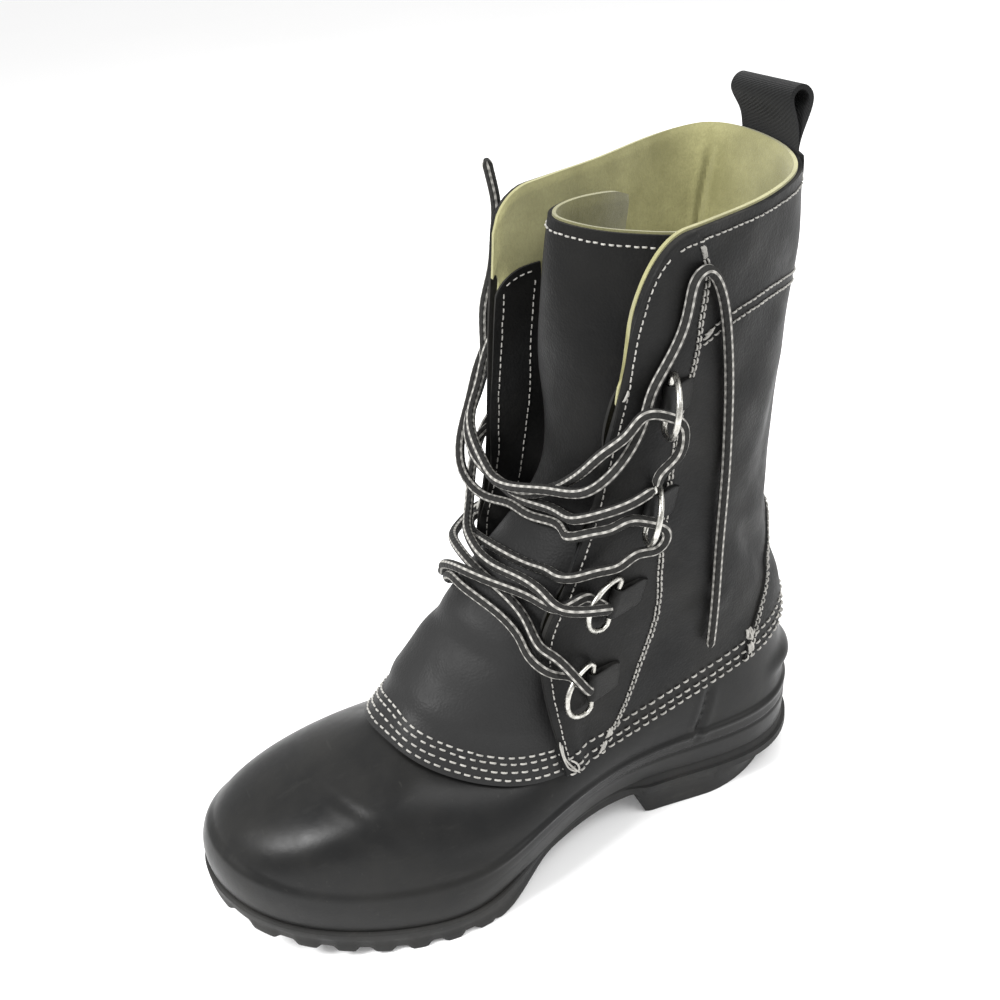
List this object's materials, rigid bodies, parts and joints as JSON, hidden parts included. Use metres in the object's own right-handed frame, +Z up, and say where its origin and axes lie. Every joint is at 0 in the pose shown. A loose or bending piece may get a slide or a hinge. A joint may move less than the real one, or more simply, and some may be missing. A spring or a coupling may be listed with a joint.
{
  "type": "lace-up boot",
  "caption": "Left lace-up pac boot: moulded rubber foot on a lugged sole, stitched leather shaft and tongue with felt lining, D-ring lacing and a pull loop.",
  "frame": {"origin": "on the floor under the ball of the foot, on the long line through the middle of heel and waist", "axes": "+Z up, -Y towards the toe, +X towards the outer side of the left foot"},
  "size_m": [0.1388, 0.3249, 0.3113],
  "materials": {
    "rubber": "dark grey moulded rubber with a dull sheen and scuffs",
    "leather": "matt black oiled leather, fine grain, pale thread",
    "felt": "olive wool felt",
    "ring_steel": "plain bent steel wire, slightly dulled",
    "webbing": "black woven webbing",
    "lace": "black round braid with two pale stripes"
  },
  "bodies": {
    "root": {"outsole": "rubber", "rubber_shell": "rubber", "shaft": "leather", "tongue": "leather", "insole": "felt", "pull_loop": "webbing", "lace_crossings": "lace", "lace_slack_near": "lace", "lace_slack_far": "lace", "lace_ring_out_1": "ring_steel", "lace_ring_out_2": "ring_steel", "lace_ring_out_3": "ring_steel", "lace_ring_out_4": "ring_steel", "lace_ring_in_1": "ring_steel", "lace_ring_in_2": "ring_steel", "lace_ring_in_3": "ring_steel", "lace_ring_in_4": "ring_steel", "ring_tab_out_1": "leather", "ring_tab_out_2": "leather", "ring_tab_out_3": "leather", "ring_tab_out_4": "leather", "ring_tab_in_1": "leather", "ring_tab_in_2": "leather", "ring_tab_in_3": "leather", "ring_tab_in_4": "leather"}
  },
  "joints": []
}
